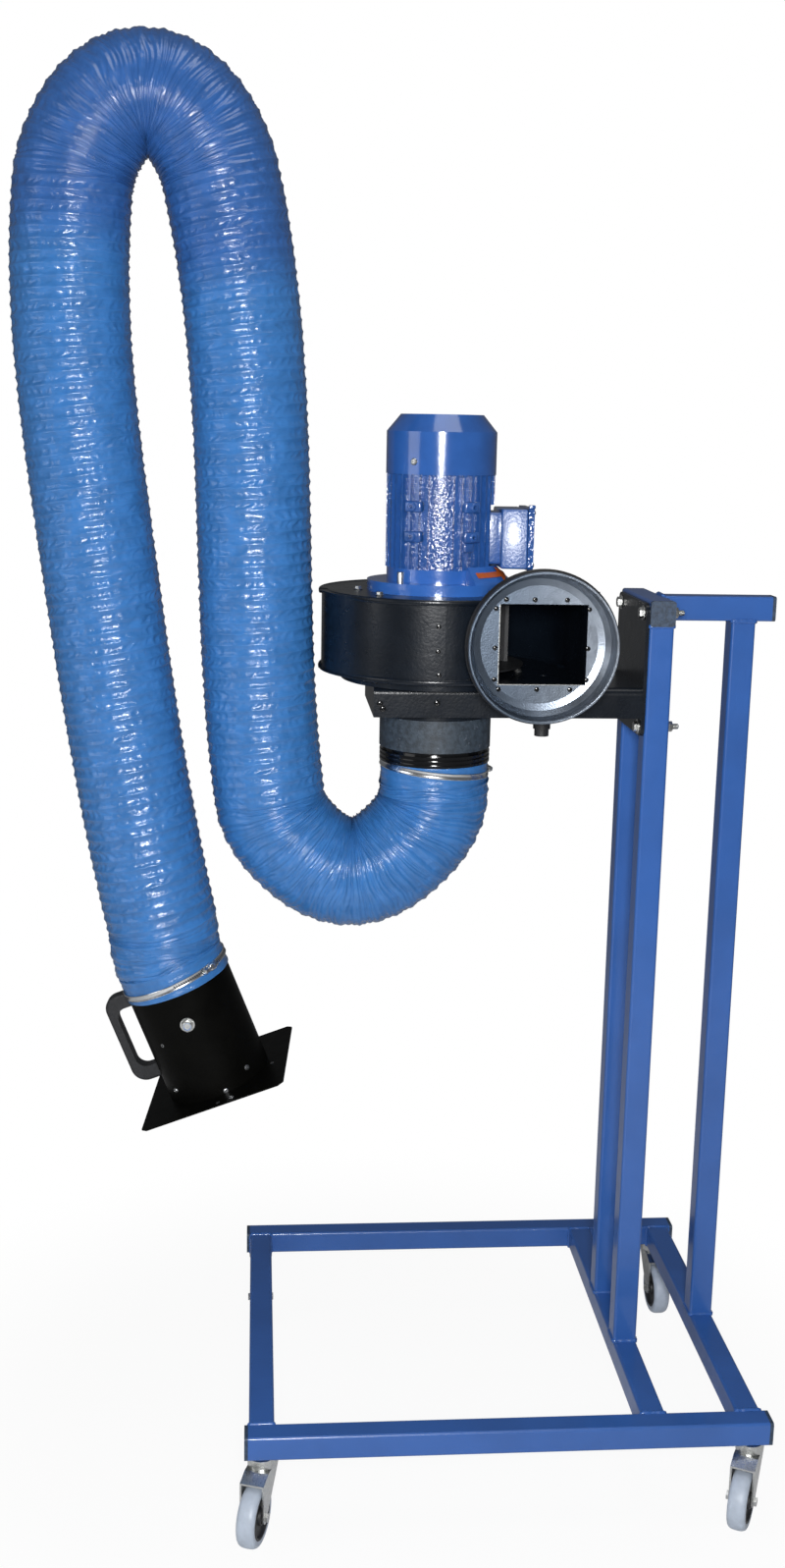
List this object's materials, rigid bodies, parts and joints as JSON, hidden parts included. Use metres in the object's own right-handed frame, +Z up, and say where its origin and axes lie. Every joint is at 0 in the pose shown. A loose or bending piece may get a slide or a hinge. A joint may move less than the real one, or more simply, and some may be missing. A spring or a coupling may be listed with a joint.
{
  "type": "mobile extraction arm",
  "caption": "Trolley with a motor-driven extraction fan and a jointed arm in ribbed hose that ends in a flanged hood pipe with a handle.",
  "frame": {"origin": "on the floor under the middle of the whole machine's box", "axes": "+Z up from the floor; +X to the right, from the arm towards the handle post; +Y away from the side where the outlet is"},
  "size_m": [1.0613, 0.6785, 1.985],
  "materials": {
    "zinc_sheet": "galvanised sheet",
    "zinc_fasteners": "zinc plated",
    "steel": "plain, hidden inside",
    "clamp_steel": "bright band",
    "blue_paint": "satin",
    "black_paint": "satin powder coat",
    "grey_paint": "satin, dark grey",
    "black_plastic": "matt moulded",
    "white_plastic": "sliding plastic",
    "black_rubber": "soft lip",
    "grey_tyre": "grey non-marking rubber",
    "blue_hose": "shiny coated fabric over a wire coil"
  },
  "bodies": {
    "trolley": {"front_rail": "blue_paint", "back_rail": "blue_paint", "left_side_rail": "blue_paint", "inner_cross_rail": "blue_paint", "outer_side_rail": "blue_paint", "front_post": "blue_paint", "rear_post": "blue_paint", "handle_post": "blue_paint", "top_beam": "blue_paint", "handle_beam": "blue_paint", "end_plugs": "black_plastic", "mounting_plate": "black_paint", "frame_bolts": "zinc_fasteners", "fan_bracket": "black_paint", "scroll_wrap": "black_paint", "scroll_top": "black_paint", "scroll_bottom": "black_paint", "inlet_ring": "black_paint", "inlet_collar": "grey_paint", "slide_ring": "white_plastic", "outlet_spigot": "zinc_sheet", "outlet_seal": "black_rubber", "motor_flange": "blue_paint", "motor_body": "blue_paint", "motor_cowl": "blue_paint", "terminal_box": "blue_paint", "terminal_lid": "blue_paint", "cable_gland": "black_plastic", "flange_bolts": "zinc_fasteners", "motor_bearings": "steel", "drain_spout": "black_plastic", "castor_heads": "zinc_fasteners"},
    "fan_rotor": {"impeller": "black_plastic", "rotor_shaft": "steel", "cooling_fan": "black_plastic"},
    "swivel": {"swivel_ring": "black_paint", "swivel_bracket": "steel", "inlet_clamp": "clamp_steel", "hose_lower_bend": "blue_hose", "shoulder_pivot": "zinc_fasteners"},
    "lower_arm": {"lower_arm": "steel", "hose_lower_leg": "blue_hose", "hose_upper_bend": "blue_hose", "elbow_pivot": "zinc_fasteners"},
    "upper_arm": {"upper_arm": "steel", "hose_upper_leg": "blue_hose", "hose_wrist_bend": "blue_hose"},
    "hood": {"hood_pipe": "black_paint", "hood_plate": "black_paint", "hood_handle": "black_plastic", "hood_clamp": "clamp_steel", "wrist_bolt": "zinc_fasteners"},
    "front_left_fork": {"front_left_fork": "zinc_fasteners"},
    "front_right_fork": {"front_right_fork": "zinc_fasteners"},
    "rear_left_fork": {"rear_left_fork": "zinc_fasteners"},
    "rear_right_fork": {"rear_right_fork": "zinc_fasteners"},
    "front_left_wheel": {"front_left_wheel": "grey_tyre"},
    "front_right_wheel": {"front_right_wheel": "grey_tyre"},
    "rear_left_wheel": {"rear_left_wheel": "grey_tyre"},
    "rear_right_wheel": {"rear_right_wheel": "grey_tyre"}
  },
  "joints": [
    {"name": "fan_spin", "type": "hinge", "parent": "trolley", "child": "fan_rotor", "pos_m": [0.049, 0.028, 1.3], "axis": [0, 0, 1], "continuous": true},
    {"name": "arm_swivel", "type": "hinge", "parent": "trolley", "child": "swivel", "pos_m": [0.049, 0.028, 1.048], "axis": [0, 0, 1], "range_deg": [-20, 75]},
    {"name": "shoulder", "type": "hinge", "parent": "swivel", "child": "lower_arm", "pos_m": [-0.071, 0.028, 0.9015], "axis": [0, 1, 0], "range_deg": [-60, 0], "deforming": ["hose_lower_bend"]},
    {"name": "elbow", "type": "hinge", "parent": "lower_arm", "child": "upper_arm", "pos_m": [-0.348, 0.028, 1.866], "axis": [0, 1, 0], "range_deg": [0, 110], "deforming": ["hose_upper_bend"]},
    {"name": "wrist", "type": "hinge", "parent": "upper_arm", "child": "hood", "pos_m": [-0.301, 0.028, 0.6525], "axis": [0, 1, 0], "range_deg": [-20, 25], "deforming": ["hose_wrist_bend"]},
    {"name": "front_left_castor", "type": "hinge", "parent": "trolley", "child": "front_left_fork", "pos_m": [-0.1955, -0.2645, 0.1], "axis": [0, 0, 1], "continuous": true},
    {"name": "front_left_roll", "type": "hinge", "parent": "front_left_fork", "child": "front_left_wheel", "pos_m": [-0.20592, -0.29476, 0.042], "axis": [0.9455, -0.3256, 0], "continuous": true},
    {"name": "front_right_castor", "type": "hinge", "parent": "trolley", "child": "front_right_fork", "pos_m": [0.4835, -0.2645, 0.1], "axis": [0, 0, 1], "continuous": true},
    {"name": "front_right_roll", "type": "hinge", "parent": "front_right_fork", "child": "front_right_wheel", "pos_m": [0.46848, -0.29275, 0.042], "axis": [0.8829, -0.4695, 0], "continuous": true},
    {"name": "rear_left_castor", "type": "hinge", "parent": "trolley", "child": "rear_left_fork", "pos_m": [-0.1955, 0.3205, 0.1], "axis": [0, 0, 1], "continuous": true},
    {"name": "rear_left_roll", "type": "hinge", "parent": "rear_left_fork", "child": "rear_left_wheel", "pos_m": [-0.1955, 0.2885, 0.042], "axis": [1, 0, 0], "continuous": true},
    {"name": "rear_right_castor", "type": "hinge", "parent": "trolley", "child": "rear_right_fork", "pos_m": [0.4835, 0.3205, 0.1], "axis": [0, 0, 1], "continuous": true},
    {"name": "rear_right_roll", "type": "hinge", "parent": "rear_right_fork", "child": "rear_right_wheel", "pos_m": [0.48462, 0.28852, 0.042], "axis": [0.9994, 0.0349, 0], "continuous": true}
  ]
}
